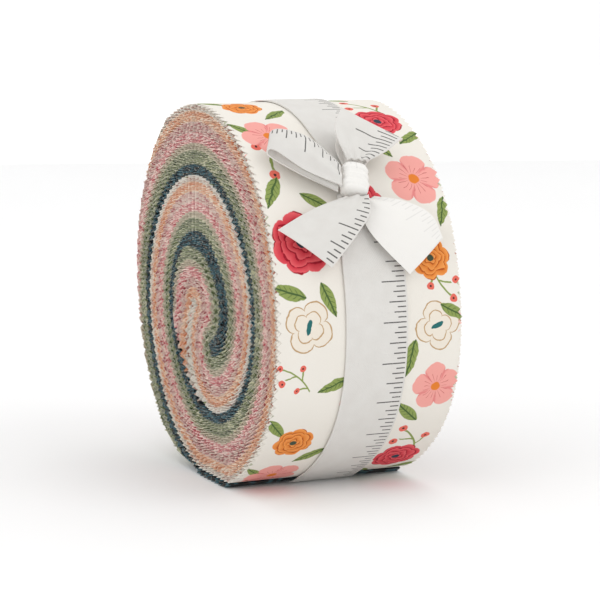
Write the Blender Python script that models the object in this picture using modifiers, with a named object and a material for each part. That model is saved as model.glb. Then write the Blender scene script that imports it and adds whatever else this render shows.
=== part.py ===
"""Rolled quilting fabric strips, tied with a ribbon.

Forty cotton strips, 2.5 inches wide and each folded in half, lie on each other as one thick
stack. The stack is wound up from an S-shaped core into a roll that stands on its edge turns,
with the roll's axis along X, one spiral face towards -X and the bow towards -Y. A narrow
cotton ribbon goes once round the middle and is tied in a bow on the front, above centre.

A point of the roll's section is (forward, up), measured from the middle of the section:
forward is -Y and up is +Z. Angles in the section run from forward (0), over the top (90) to
the back (180) and the underside (270), and go on past 360 for the further turns.
"""

import bmesh
import bpy
import numpy as np
from math import cos, radians, sin

MM = 0.001

# Driving sizes of the strips and the stack
STRIP_WIDTH = 63.5 * MM
STACK = 21.5 * MM
GAP = 0.6 * MM
LAYER_GAP = 0.3 * MM

# The turns are half circles about two centres, one above the other, half a stack apart
FORWARD_CENTRE = np.array([1.0, 0.5]) * MM
BACK_CENTRE = FORWARD_CENTRE - np.array([0.0, STACK / 2])
FIRST_RADIUS = 16.0 * MM
OVAL = 2.9 * MM
BACK_FLATTENING = 1.0 * MM
LOOSE_TURN = 1.8 * MM
LOOSE_FROM = 730.0
LOOSE_RISE = 52.0
SWELLS = (
    # angle, half its width, height: where the last turn stands out or is pressed in
    (648.0, 24.0, 1.1 * MM),
    (720.0, 36.0, -1.0 * MM),
    (845.0, 35.0, -1.2 * MM),
)
UNDERSIDE = -57.9 * MM
LEVEL_FROM = 540.0

# The core: a tight bend of the inner face, the hook, and one of the outer face, the lobe
HOOK_ANGLE = -64.0
LOBE_DIRECTION = 143.0
LOBE_DISTANCE = 20.0 * MM
HOOK_END = 296.0
TAIL_END = 250.0
TAIL_BOUNDARY = 268.0

# Where the layers end outside, from the inner face of the stack (0) to its outer face (1)
LAYER_ENDS = (
    # fraction of the stack, angle of its end
    (0.00, 619.0),
    (0.09, 616.0),
    (0.20, 606.0),
    (0.28, 597.0),
    (0.36, 588.0),
    (0.40, 566.0),
    (0.47, 546.0),
    (0.51, 533.0),
    (0.60, 520.0),
    (0.70, 506.0),
    (0.81, 494.0),
    (0.90, 487.0),
    (1.00, 477.0),
)

# The loose end of the innermost strips, under the roll
LOOSE_THICKNESS = 1.0 * MM
LOOSE_START = 620.5
LOOSE_STOP = 648.0
LOOSE_HELD = 12.0 * MM
LOOSE_FREE = 20.0 * MM

# The ribbon and its bow
RIBBON_WIDTH = 21.0 * MM
RIBBON_MIDDLE = 1.8 * MM
RIBBON_THICKNESS = 1.0 * MM
KNOT_X = -1.3 * MM
KNOT_ANGLE = 39.3
KNOT_TURN = 14.0
KNOT_LIFT = 4.1 * MM
KNOT_SIZE = (9.0 * MM, 10.4 * MM, 7.4 * MM)
KNOT_WAIST = 0.88

ANGLE_STEP = 4.0

# The underside of the stack, the loose end and the ribbon lie on each other
LOOSE_TOP = UNDERSIDE
LOOSE_BOTTOM = LOOSE_TOP - LOOSE_THICKNESS
FLOOR = LOOSE_BOTTOM - LAYER_GAP - RIBBON_THICKNESS
CENTRE_HEIGHT = -FLOOR

# Columns of the bow's tables: x, angle and lift of one edge, then of the other edge, all in
# millimetres and degrees, then how far the middle of the ribbon bulges outwards
LEFT_LOOP = (
    (-5.7, 43.1, 2.2, -6.5, 37.1, 2.0, 0.0),
    (-14.0, 50.1, 2.2, -16.8, 43.3, 2.0, 0.0),
    (-21.8, 55.1, 2.6, -24.5, 49.1, 2.2, 0.0),
    (-23.7, 56.5, 4.8, -26.9, 50.3, 4.0, 0.6),
    (-21.5, 55.5, 7.6, -25.2, 49.2, 6.0, 1.2),
    (-14.0, 51.3, 8.6, -17.3, 42.1, 5.8, 2.4),
    (-5.7, 44.1, 6.4, -6.7, 36.9, 5.4, 0.6),
)
RIGHT_LOOP = (
    (-2.4, 44.9, 2.2, 4.0, 44.5, 2.2, 0.0),
    (-3.0, 51.5, 3.4, 9.8, 48.7, 3.0, 0.0),
    (1.2, 59.5, 5.6, 15.8, 52.3, 4.0, 0.0),
    (1.8, 61.7, 8.0, 18.8, 51.1, 6.0, 0.0),
    (0.6, 59.9, 10.8, 17.4, 49.7, 8.4, -0.8),
    (-4.8, 52.5, 10.4, 11.2, 46.5, 7.6, -2.0),
    (-2.4, 44.9, 6.4, 4.2, 44.5, 6.0, 0.3),
)
LEFT_TAIL = (
    (-6.0, 34.0, 4.2, 1.2, 33.8, 5.4, 0.6),
    (-14.1, 32.1, 3.6, 0.3, 28.5, 5.6, 1.2),
    (-20.9, 29.8, 2.8, -4.9, 22.9, 5.4, 0.8),
    (-29.7, 25.9, 2.4, -14.3, 14.1, 3.6, 0.4),
)
RIGHT_TAIL = (
    (-0.3, 33.4, 2.2, 4.5, 34.5, 2.8, 0.1),
    (-0.3, 26.5, 2.4, 13.5, 31.9, 4.6, 0.6),
    (3.7, 19.9, 2.6, 21.1, 27.3, 5.4, 0.8),
    (12.3, 11.1, 2.6, 23.9, 20.5, 5.2, 0.4),
)


def smooth_step(t):
    """0 below 0, 1 above 1 and an S-shaped rise between."""
    t = np.clip(t, 0.0, 1.0)
    return t * t * (3.0 - 2.0 * t)


def boundary(angle):
    """Points of the line where one turn's outer face meets the next turn's inner face.

    Each half turn is an arc half a stack larger than the one before. The arcs lean into an
    oval, the back is a little flat, and what lies on the underside is pressed level.
    """
    angle = np.atleast_1d(np.asarray(angle, float))
    half_turn = np.floor((angle + 90.0) / 180.0)
    forward = half_turn % 2 == 0
    turn = np.radians(angle)
    radius = FIRST_RADIUS + STACK / 2 * half_turn - OVAL * np.sin(2 * turn)
    radius -= np.where(forward, 0.0, BACK_FLATTENING * np.maximum(0.0, -np.cos(turn)) ** 2)
    radius += LOOSE_TURN * smooth_step((angle - LOOSE_FROM) / LOOSE_RISE)
    for middle, half, height in SWELLS:
        off = np.clip((angle - middle) / half, -1.0, 1.0)
        radius += height * np.cos(off * np.pi / 2) ** 2
    centre = np.where(forward[:, None], FORWARD_CENTRE, BACK_CENTRE)
    points = centre + radius[:, None] * np.stack([np.cos(turn), np.sin(turn)], 1)
    level = UNDERSIDE - STACK * np.floor((angle - LEVEL_FROM) / 360.0)
    points[:, 1] = np.where(angle > LEVEL_FROM, np.maximum(points[:, 1], level), points[:, 1])
    return points


HOOK = boundary(HOOK_ANGLE)[0]


def hook_face(angle):
    """Points of the outer face where the stack bends round the hook, from the lobe on."""
    angle = np.atleast_1d(np.asarray(angle, float))
    last = np.linalg.norm(boundary(HOOK_END)[0] - HOOK)
    share = (angle - LOBE_DIRECTION) / (HOOK_END - LOBE_DIRECTION)
    radius = LOBE_DISTANCE + (last - LOBE_DISTANCE) * share
    turn = np.radians(angle)
    return HOOK + radius[:, None] * np.stack([np.cos(turn), np.sin(turn)], 1)


def moved_sideways(points, distance):
    """A line of points moved to the right of its own direction by a distance."""
    along = np.gradient(points, axis=0)
    along /= np.linalg.norm(along, axis=1)[:, None]
    return points + distance * np.stack([along[:, 1], -along[:, 0]], 1)


def angles(first, last, step=ANGLE_STEP):
    """Evenly spaced angles from the first to the last."""
    return np.linspace(first, last, max(2, int(abs(last - first) / step) + 1))


def stack_end():
    """The staggered end of the stack, from its inner face to its outer face."""
    fractions, ends = np.array(LAYER_ENDS).T
    fraction = np.linspace(0.0, 1.0, 25)
    end = np.interp(fraction, fractions, ends)
    inner = boundary(end)
    outer = boundary(end + 360.0)
    return inner + fraction[:, None] * (outer - inner)


def roll_outline():
    """The section of the wound stack as one closed line, with a slit between its turns."""
    half = GAP / 2
    first = HOOK_ANGLE + 14.0
    inner = moved_sideways(boundary(angles(first, LAYER_ENDS[0][1])), half)
    end = stack_end()[1:-1]
    outer = moved_sideways(boundary(angles(LAYER_ENDS[-1][1] + 360.0, HOOK_END)), half)
    hook_outer = moved_sideways(hook_face(angles(HOOK_END - 6.0, LOBE_DIRECTION + 4.0)), half)
    lobe = hook_face(LOBE_DIRECTION)
    tail_inner = moved_sideways(hook_face(angles(LOBE_DIRECTION + 4.0, TAIL_END)), half)
    tail_outer = moved_sideways(boundary(angles(TAIL_BOUNDARY, first)), half)
    parts = (HOOK[None], inner, end, outer, hook_outer, lobe, tail_inner, tail_outer)
    return np.concatenate(parts)


def hull(points):
    """The points of a flat set that a tight band would touch, in turning order."""
    points = points[np.lexsort((points[:, 1], points[:, 0]))]

    def chain(run):
        kept = []
        for p in run:
            while len(kept) > 1:
                a, b = kept[-1] - kept[-2], p - kept[-2]
                if a[0] * b[1] - a[1] * b[0] > 0:
                    break
                kept.pop()
            kept.append(p)
        return kept[:-1]

    return np.array(chain(points) + chain(points[::-1]))


def loose_end_line():
    """The underside of the loose end in the ribbon's width, from its start to its cut edge."""
    line = boundary(angles(LOOSE_START, LOOSE_STOP, 1.5))
    return moved_sideways(line, LOOSE_THICKNESS)


def band_line(count=180):
    """The middle of the ribbon's thickness round the roll, evenly spaced."""
    tight = hull(np.concatenate([roll_outline(), loose_end_line()]))
    closed = np.concatenate([tight, tight[:1]])
    run = np.concatenate([[0.0], np.cumsum(np.linalg.norm(np.diff(closed, axis=0), axis=1))])
    even = np.linspace(0.0, run[-1], count, endpoint=False)
    line = np.stack([np.interp(even, run, closed[:, i]) for i in (0, 1)], 1)
    along = np.roll(line, -1, axis=0) - np.roll(line, 1, axis=0)
    along /= np.linalg.norm(along, axis=1)[:, None]
    out = np.stack([along[:, 1], -along[:, 0]], 1)
    return line + out * (LAYER_GAP + RIBBON_THICKNESS / 2)


BAND = band_line()
BAND_ANGLE = np.degrees(np.arctan2(BAND[:, 1], BAND[:, 0])) % 360.0
BAND_ORDER = np.argsort(BAND_ANGLE)
BAND_ANGLES = BAND_ANGLE[BAND_ORDER]
BAND_RADII = np.linalg.norm(BAND, axis=1)[BAND_ORDER]


def on_roll(x, angle, lift):
    """World place over the ribbon's outer face at an angle, lifted outwards."""
    radius = np.interp(angle, BAND_ANGLES, BAND_RADII, period=360.0)
    radius = radius + RIBBON_THICKNESS / 2 + lift
    return (x, -radius * cos(radians(angle)), CENTRE_HEIGHT + radius * sin(radians(angle)))


def cotton(name, colour, roughness=0.9):
    """A plain cotton finish."""
    material = bpy.data.materials.new(name)
    material.use_nodes = True
    shader = material.node_tree.nodes["Principled BSDF"]
    shader.inputs["Base Color"].default_value = (*colour, 1.0)
    shader.inputs["Roughness"].default_value = roughness
    shader.inputs["Metallic"].default_value = 0.0
    return material


def section_curve(name, points, width, middle, filled, material):
    """A closed line of the section, drawn out along X to a width."""
    curve = bpy.data.curves.new(name, "CURVE")
    curve.dimensions = "2D" if filled else "3D"
    curve.fill_mode = "BOTH" if filled else "FULL"
    curve.extrude = width / 2
    spline = curve.splines.new("POLY")
    spline.points.add(len(points) - 1)
    for point, (forward, up) in zip(spline.points, points):
        point.co = (forward, up, 0.0, 1.0)
    spline.use_cyclic_u = True
    curve.materials.append(material)
    piece = bpy.data.objects.new(name, curve)
    piece.rotation_euler = (radians(90.0), 0.0, radians(-90.0))
    piece.location = (middle, 0.0, CENTRE_HEIGHT)
    COLLECTION.objects.link(piece)
    return piece


def smooth_rows(rows, count):
    """A smooth run of rows through the given ones, by Catmull-Rom's rule."""
    rows = np.array(rows, float)
    padded = np.concatenate([2 * rows[:1] - rows[1:2], rows, 2 * rows[-1:] - rows[-2:-1]])
    place = np.linspace(0.0, len(rows) - 1.0, count)
    i = np.minimum(place.astype(int), len(rows) - 2)
    t = (place - i)[:, None]
    a, b, c, d = (padded[i + k] for k in range(4))
    return 0.5 * (
        2 * b + (c - a) * t + (2 * a - 5 * b + 4 * c - d) * t**2 + (3 * b - a - 3 * c + d) * t**3
    )


def sheet_object(name, grid, thickness, material):
    """A grid of points as a sheet with a thickness, half of it on each side."""
    rows, columns = len(grid), len(grid[0])
    shape = bmesh.new()
    bmesh.ops.create_grid(shape, x_segments=columns - 1, y_segments=rows - 1, size=1.0)
    for vertex in shape.verts:
        i = round((vertex.co.y + 1.0) / 2.0 * (rows - 1))
        j = round((vertex.co.x + 1.0) / 2.0 * (columns - 1))
        vertex.co = grid[i][j]
    mesh = bpy.data.meshes.new(name)
    shape.to_mesh(mesh)
    shape.free()
    mesh.materials.append(material)
    piece = bpy.data.objects.new(name, mesh)
    COLLECTION.objects.link(piece)
    wall = piece.modifiers.new("thickness", "SOLIDIFY")
    wall.thickness = thickness
    wall.offset = 0.0
    wall.use_even_offset = True
    return piece


def bow_ribbon(name, table, stations, material, across=6):
    """A length of the ribbon whose two edges and bulge run smoothly through a table."""
    grid = []
    for x0, angle0, lift0, x1, angle1, lift1, bulge in smooth_rows(table, stations):
        row = []
        for j in range(across + 1):
            s = j / across
            x = (x0 + (x1 - x0) * s) * MM
            lift = (lift0 + (lift1 - lift0) * s + bulge * sin(s * np.pi)) * MM
            row.append(on_roll(x, angle0 + (angle1 - angle0) * s, lift))
        grid.append(row)
    return sheet_object(name, grid, RIBBON_THICKNESS, material)


def make_roll():
    """The wound stack, one solid from its core to its staggered end."""
    finish = cotton("stacked cotton", (0.55, 0.40, 0.36))
    section_curve("roll", roll_outline(), STRIP_WIDTH, 0.0, True, finish)


def make_loose_end():
    """The dark strips' loose end: held level by the ribbon, sagging to the floor beside it."""
    finish = cotton("dark teal cotton", (0.02, 0.06, 0.08))
    line = moved_sideways(boundary(angles(LOOSE_START, LOOSE_STOP, 1.5)), LOOSE_THICKNESS / 2)
    drop = LOOSE_BOTTOM - FLOOR
    grid = []
    for forward, up in line:
        row = []
        for x in np.linspace(-STRIP_WIDTH / 2, STRIP_WIDTH / 2, 33):
            free = (abs(x - RIBBON_MIDDLE) - LOOSE_HELD) / (LOOSE_FREE - LOOSE_HELD)
            sag = drop * float(smooth_step(free))
            row.append((x, -forward, CENTRE_HEIGHT + up - sag))
        grid.append(row)
    sheet_object("loose_end", grid, LOOSE_THICKNESS, finish)


def make_band():
    """The ribbon once round the roll, drawn tight."""
    piece = section_curve("tie_band", BAND, RIBBON_WIDTH, RIBBON_MIDDLE, False, RIBBON_COTTON)
    wall = piece.modifiers.new("thickness", "SOLIDIFY")
    wall.thickness = RIBBON_THICKNESS
    wall.offset = 0.0


def make_knot():
    """The knot: a soft pad of ribbon, drawn in at its waist where the last turn crosses it."""
    shape = bmesh.new()
    bmesh.ops.create_cube(shape, size=1.0)
    bmesh.ops.subdivide_edges(shape, edges=shape.edges[:], cuts=2, use_grid_fill=True)
    for vertex in shape.verts:
        end = min(1.0, abs(vertex.co.y) * 2.0)
        vertex.co.x *= KNOT_SIZE[0] * (KNOT_WAIST + (1.0 - KNOT_WAIST) * end)
        vertex.co.y *= KNOT_SIZE[1]
        vertex.co.z *= KNOT_SIZE[2]
    mesh = bpy.data.meshes.new("tie_knot")
    shape.to_mesh(mesh)
    shape.free()
    mesh.materials.append(RIBBON_COTTON)
    piece = bpy.data.objects.new("tie_knot", mesh)
    piece.location = on_roll(KNOT_X, KNOT_ANGLE, KNOT_LIFT)
    piece.rotation_euler = (radians(90.0 - KNOT_ANGLE), 0.0, 0.0)
    piece.rotation_mode = "ZYX"
    piece.rotation_euler.z = radians(-KNOT_TURN)
    COLLECTION.objects.link(piece)
    rounding = piece.modifiers.new("rounding", "SUBSURF")
    rounding.levels = 1
    rounding.render_levels = 1


for old in list(bpy.data.objects):
    bpy.data.objects.remove(old, do_unlink=True)
COLLECTION = bpy.data.collections.new("rolled quilting fabric strips")
bpy.context.scene.collection.children.link(COLLECTION)
RIBBON_COTTON = cotton("ribbon cotton", (0.83, 0.82, 0.79))

make_roll()
make_loose_end()
make_band()
make_knot()
bow_ribbon("tie_loop_left", LEFT_LOOP, 37, RIBBON_COTTON)
bow_ribbon("tie_loop_right", RIGHT_LOOP, 37, RIBBON_COTTON)
bow_ribbon("tie_tail_left", LEFT_TAIL, 19, RIBBON_COTTON)
bow_ribbon("tie_tail_right", RIGHT_TAIL, 19, RIBBON_COTTON)
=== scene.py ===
import bpy
import numpy as np
from math import cos, pi, radians, sin
from mathutils import Euler, Matrix, Vector


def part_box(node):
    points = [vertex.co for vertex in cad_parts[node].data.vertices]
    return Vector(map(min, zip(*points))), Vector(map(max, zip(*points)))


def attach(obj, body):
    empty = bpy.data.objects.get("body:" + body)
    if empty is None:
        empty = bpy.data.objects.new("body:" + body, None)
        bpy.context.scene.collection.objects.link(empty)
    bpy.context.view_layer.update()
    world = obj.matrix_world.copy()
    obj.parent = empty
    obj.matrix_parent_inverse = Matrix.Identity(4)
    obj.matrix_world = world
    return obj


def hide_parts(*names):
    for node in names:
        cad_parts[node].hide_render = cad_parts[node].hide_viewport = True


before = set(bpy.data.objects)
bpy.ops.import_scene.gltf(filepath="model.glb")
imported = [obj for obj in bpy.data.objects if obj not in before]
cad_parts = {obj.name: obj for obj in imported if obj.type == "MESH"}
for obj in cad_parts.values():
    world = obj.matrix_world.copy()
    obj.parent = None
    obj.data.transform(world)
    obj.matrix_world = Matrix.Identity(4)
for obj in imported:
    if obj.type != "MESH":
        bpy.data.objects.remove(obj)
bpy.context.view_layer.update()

# Floor, soft light and camera.
# A pale sweep carries the roll. Soft lights stand in front on the right, on the left, above
# and towards the backdrop. The camera looks down a little on one spiral face and the bow.
roll_low, roll_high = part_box("roll")
band_low, band_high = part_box("tie_band")
MM = 0.001
STRIP_WIDTH = roll_high[0] - roll_low[0]
UNDERSIDE = -57.9 * MM
SLIT = 0.3 * MM
CENTRE_HEIGHT = roll_low[2] - UNDERSIDE - SLIT


def colour(red, green, blue):
    """A display colour (0 to 255 a channel) as the linear colour that a shader takes."""
    c = np.array([red, green, blue]) / 255.0
    linear = np.where(c <= 0.04045, c / 12.92, ((c + 0.055) / 1.055) ** 2.4)
    return (*(float(v) for v in linear), 1.0)


def plain_material(name, tint, roughness):
    """A matt painted finish with a faint mottle."""
    material = bpy.data.materials.new(name)
    material.use_nodes = True
    nodes, links = material.node_tree.nodes, material.node_tree.links
    shader = nodes["Principled BSDF"]
    shader.inputs["Roughness"].default_value = roughness
    place = nodes.new("ShaderNodeTexCoord")
    mottle = nodes.new("ShaderNodeTexNoise")
    mottle.inputs["Scale"].default_value = 3.0
    shades = nodes.new("ShaderNodeMix")
    shades.data_type = "RGBA"
    shades.inputs["A"].default_value = tint
    shades.inputs["B"].default_value = tuple(0.97 * v for v in tint[:3]) + (1.0,)
    links.new(place.outputs["Object"], mottle.inputs["Vector"])
    links.new(mottle.outputs["Fac"], shades.inputs["Factor"])
    links.new(shades.outputs["Result"], shader.inputs["Base Color"])
    return material


def quads(index):
    """The four-cornered faces between the rows and columns of a grid of point numbers."""
    corners = [index[:-1, :-1], index[1:, :-1], index[1:, 1:], index[:-1, 1:]]
    return np.stack(corners, -1).reshape(-1, 4)


def surface_mesh(name, points):
    """A mesh from a grid of points (rows, columns, 3), its faces turned with rows x columns."""
    rows, columns = points.shape[:2]
    index = np.arange(rows * columns).reshape(rows, columns)
    mesh = bpy.data.meshes.new(name)
    mesh.from_pydata(points.reshape(-1, 3).tolist(), [], quads(index).tolist())
    mesh.update()
    return mesh


def add(name, mesh, material):
    """An object at the origin, in the scene, with one material and soft shading."""
    mesh.materials.append(material)
    mesh.shade_smooth()
    mesh.set_sharp_from_angle(angle=radians(50.0))
    piece = bpy.data.objects.new(name, mesh)
    bpy.context.scene.collection.objects.link(piece)
    return piece


FLOOR_HALF = 4.0
SWEEP_BACK = 3.0
SWEEP_RADIUS = 1.0
SWEEP_TOP = 3.5
bend = np.linspace(0.0, pi / 2, 13)
sweep_y = SWEEP_BACK + SWEEP_RADIUS * np.sin(bend)
sweep_y = np.concatenate([[-FLOOR_HALF], sweep_y, sweep_y[-1:]])
sweep_z = np.concatenate([[0.0], SWEEP_RADIUS * (1 - np.cos(bend)), [SWEEP_TOP]])
sweep = np.zeros((2, len(sweep_y), 3))
sweep[0, :, 0], sweep[1, :, 0] = -FLOOR_HALF, FLOOR_HALF
sweep[:, :, 1], sweep[:, :, 2] = sweep_y, sweep_z
pale_floor = plain_material("pale floor", colour(244, 244, 244), 0.9)
backdrop = add("floor_sweep", surface_mesh("floor_sweep", sweep), pale_floor)

VIEW_AZIMUTH = -24.80
VIEW_HEIGHT = 8.02
VIEW_ROLL = 0.245
VIEW_DISTANCE = 0.7478
LENS = 136.27
camera_data = bpy.data.cameras.new("camera")
camera_data.lens = LENS
camera_data.sensor_width = 36.0
camera_data.shift_x = 0.0161
camera_data.shift_y = -0.0179
camera = bpy.data.objects.new("camera", camera_data)
bpy.context.scene.collection.objects.link(camera)
back = Vector(
    (
        sin(radians(VIEW_AZIMUTH)) * cos(radians(VIEW_HEIGHT)),
        -cos(radians(VIEW_AZIMUTH)) * cos(radians(VIEW_HEIGHT)),
        sin(radians(VIEW_HEIGHT)),
    )
)
camera.location = back * VIEW_DISTANCE + Vector((0.0, 0.0, CENTRE_HEIGHT))
facing = Euler((radians(90.0 - VIEW_HEIGHT), 0.0, radians(VIEW_AZIMUTH))).to_matrix()
camera.rotation_euler = (facing @ Matrix.Rotation(radians(VIEW_ROLL), 3, "Z")).to_euler()
bpy.context.scene.camera = camera

world = bpy.data.worlds.new("studio")
world.use_nodes = True
world.node_tree.nodes["Background"].inputs["Color"].default_value = (1.0, 1.0, 1.0, 1.0)
world.node_tree.nodes["Background"].inputs["Strength"].default_value = 0.95
bpy.context.scene.world = world
bpy.context.scene.view_settings.view_transform = "Standard"

MIDDLE = (0.0, 0.0, CENTRE_HEIGHT)
LIGHTS = (
    # name, place, where it points, width, power, spread in degrees
    ("front light", (0.9, -1.5, 1.5), MIDDLE, 1.4, 9.0, 180.0),
    ("left light", (-1.7, -0.4, 0.9), MIDDLE, 1.2, 4.0, 180.0),
    ("top light", (0.1, 0.3, 2.0), MIDDLE, 1.6, 4.0, 180.0),
    ("backdrop light", (0.0, 1.4, 1.0), (0.8, 4.0, 0.6), 2.0, 20.0, 110.0),
)
for name, place, target, width, power, spread in LIGHTS:
    lamp_data = bpy.data.lights.new(name, "AREA")
    lamp_data.size = width
    lamp_data.energy = power
    lamp_data.spread = radians(spread)
    lamp = bpy.data.objects.new(name, lamp_data)
    lamp.location = place
    lamp.rotation_euler = (Vector(target) - Vector(place)).to_track_quat("-Z", "Y").to_euler()
    bpy.context.scene.collection.objects.link(lamp)

# The forty cotton strips.
# Quilting cotton 2.5 inches wide with pinked edges, each strip folded in half and all of them
# stacked, then wound up from an S-shaped core. The folds lie in the core, the cut ends outside.
STACK = 21.5 * MM
STRIPS = 40
LAYERS = 2 * STRIPS
CLOTH = 0.2 * MM
FORWARD_CENTRE = np.array([1.0, 0.5]) * MM
BACK_CENTRE = FORWARD_CENTRE - np.array([0.0, STACK / 2])
FIRST_RADIUS = 16.0 * MM
OVAL = 2.9 * MM
BACK_FLATTENING = 1.0 * MM
LOOSE_TURN = 1.8 * MM
LOOSE_FROM, LOOSE_RISE = 730.0, 52.0
SWELLS = (
    # angle, half its width, height: where the last turn stands out or is pressed in
    (648.0, 24.0, 1.1 * MM),
    (720.0, 36.0, -1.0 * MM),
    (845.0, 35.0, -1.2 * MM),
)
LEVEL_FROM = 540.0
HOOK_ANGLE, HOOK_END = -64.0, 296.0
LOBE_DIRECTION, LOBE_DISTANCE = 143.0, 20.0 * MM
TAIL_END, TAIL_BOUNDARY, TAIL_FROM = 250.0, 268.0, 172.0
LAYER_ENDS = (
    # fraction of the stack, angle of its end
    (0.00, 619.0),
    (0.09, 616.0),
    (0.20, 606.0),
    (0.28, 597.0),
    (0.36, 588.0),
    (0.40, 566.0),
    (0.47, 546.0),
    (0.51, 533.0),
    (0.60, 520.0),
    (0.70, 506.0),
    (0.81, 494.0),
    (0.90, 487.0),
    (1.00, 477.0),
)
LOOSE_STRIPS = 2
LOOSE_STOP = 648.0
TOOTH = 3.0 * MM
TOOTH_DEPTH = 1.5 * MM
ALIGNED_AT = 90.0
CORE_FROM = 35.0 * MM
FOLD_REACH = 3.0 * MM
rng = np.random.default_rng(7)


def smooth_step(t):
    """0 below 0, 1 above 1 and an S-shaped rise, t*t*(3 - 2t), between."""
    t = np.clip(t, 0.0, 1.0)
    return t * t * (3.0 - 2.0 * t)


def boundary(angle):
    """The line between one turn's outer face and the next turn's inner face.

    Half circles about two centres half a stack apart, each half a stack larger than the one
    before, with an oval term -OVAL*sin(2 angle), a flatter back and a level underside.
    """
    angle = np.atleast_1d(np.asarray(angle, float))
    half_turn = np.floor((angle + 90.0) / 180.0)
    forward = half_turn % 2 == 0
    turn = np.radians(angle)
    radius = FIRST_RADIUS + STACK / 2 * half_turn - OVAL * np.sin(2 * turn)
    radius -= np.where(forward, 0.0, BACK_FLATTENING * np.maximum(0.0, -np.cos(turn)) ** 2)
    radius += LOOSE_TURN * smooth_step((angle - LOOSE_FROM) / LOOSE_RISE)
    for middle, half, height in SWELLS:
        off = np.clip((angle - middle) / half, -1.0, 1.0)
        radius += height * np.cos(off * pi / 2) ** 2
    centre = np.where(forward[:, None], FORWARD_CENTRE, BACK_CENTRE)
    points = centre + radius[:, None] * np.stack([np.cos(turn), np.sin(turn)], 1)
    level = UNDERSIDE - STACK * np.floor((angle - LEVEL_FROM) / 360.0)
    points[:, 1] = np.where(angle > LEVEL_FROM, np.maximum(points[:, 1], level), points[:, 1])
    return points


HOOK = boundary(HOOK_ANGLE)[0]


def hook_face(angle):
    """The stack's outer face round the hook: an arc about it whose radius grows evenly."""
    last = np.linalg.norm(boundary(HOOK_END)[0] - HOOK)
    share = (angle - LOBE_DIRECTION) / (HOOK_END - LOBE_DIRECTION)
    radius = LOBE_DISTANCE + (last - LOBE_DISTANCE) * share
    turn = np.radians(angle)
    return HOOK + radius[:, None] * np.stack([np.cos(turn), np.sin(turn)], 1)


def stack_stations():
    """The stack's outer face, inner face, full depth and turning angle at stations along it.

    First the tail between the hook's bend and the first turn, then the short arm round the
    lobe, the bend round the hook and the turns. Angles before the turns stay below HOOK_ANGLE.
    """
    s = np.linspace(1.0, 0.0, 90)
    arm = np.linspace(TAIL_FROM, HOOK_ANGLE, 260)[1:]
    bend = np.linspace(LOBE_DIRECTION, HOOK_END, 160)[1:]
    turns = np.linspace(HOOK_ANGLE, 700.0, 1500)[1:]
    lobe = hook_face(np.array([LOBE_DIRECTION]))
    outer = np.concatenate([
        hook_face(LOBE_DIRECTION + s * (TAIL_END - LOBE_DIRECTION)),
        np.repeat(lobe, len(arm), 0),
        hook_face(bend),
        boundary(turns + 360.0),
    ])
    inner = np.concatenate([
        boundary(TAIL_FROM + s * (TAIL_BOUNDARY - TAIL_FROM)),
        boundary(arm),
        np.repeat(HOOK[None], len(bend), 0),
        boundary(turns),
    ])
    span = np.linalg.norm(inner - outer, axis=1)
    loosening = np.concatenate([
        1.35 + 1.6 * smooth_step(s),
        1.0 + 0.35 * smooth_step((arm - 100.0) / (TAIL_FROM - 100.0)),
        np.ones(len(bend) + len(turns)),
    ])
    full = np.maximum(span, STACK * loosening * (loosening > 1.0))
    before = len(s) + len(arm) + len(bend)
    angle = np.concatenate([HOOK_ANGLE - 1.0 - np.arange(before)[::-1] * 0.001, turns])
    return outer, inner, span, full, angle, len(s) + len(arm)


OUTER, INNER, SPAN, FULL, ANGLE, CORE_COUNT = stack_stations()


def layer_path(depth, deepest, stop):
    """One layer's line, at a share of the stack's depth from its outer face, and its run.

    The run is the arc length along it, counted from where the teeth of all layers line up. A
    layer that meets the turn beyond the core runs on along it for a little, at deepest.
    """
    share = np.minimum(depth * FULL / SPAN, deepest)
    line = OUTER + (INNER - OUTER) * share[:, None]
    run = np.concatenate([[0.0], np.cumsum(np.linalg.norm(np.diff(line, axis=0), axis=1))])
    run -= np.interp(ALIGNED_AT, ANGLE, run)
    missing = np.nonzero(depth * FULL[:CORE_COUNT] > SPAN[:CORE_COUNT])[0]
    start = np.searchsorted(run, run[missing[-1] + 1] - FOLD_REACH) if len(missing) else 0
    return line, run, start, np.interp(stop, ANGLE, run)


def strip_line(number):
    """The strip's closed course: in along one layer, round its fold and out along the next.

    Returns the points (forward, up), the tooth parity of each and its length from the start.
    """
    fractions, ends = np.array(LAYER_ENDS).T
    plies = []
    for ply in (0, 1):
        depth = (2 * number + ply + 0.5) / LAYERS
        stop = np.interp(1.0 - depth, fractions, ends) + rng.uniform(-0.8, 0.8)
        if number >= STRIPS - LOOSE_STRIPS:
            stop = LOOSE_STOP - 1.5 * (STRIPS - 1 - number) - 0.6 * (1 - ply)
        plies.append(layer_path(depth, 1.0 - (1.7 - 1.2 * ply) / LAYERS, stop))
    start = max(plies[0][2], plies[1][2])
    sides, marks = [], []
    for line, run, _, stop in plies:
        step = TOOTH / 2
        ticks = np.arange(np.ceil(run[start] / step) + 1, np.floor(stop / step) - 1)
        even = ticks * step
        core = smooth_step((-even - CORE_FROM) / CORE_FROM)
        slack = rng.normal(0.0, 0.2 * MM) + rng.normal(0.0, 0.005) * even
        slack = slack + rng.uniform(-0.5, 0.5) * TOOTH * core
        at = np.concatenate([np.clip(even + slack, run[start], stop - 0.3 * step), [stop]])
        sides.append(np.stack([np.interp(at, run, line[:, i]) for i in (0, 1)], 1))
        marks.append(np.concatenate([ticks % 2, [0.5]]))
    course = np.concatenate([sides[0][::-1], sides[1]])
    tooth = np.concatenate([marks[0][::-1], marks[1]])
    length = np.concatenate([[0.0], np.cumsum(np.linalg.norm(np.diff(course, axis=0), axis=1))])
    return course, tooth, length


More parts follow.
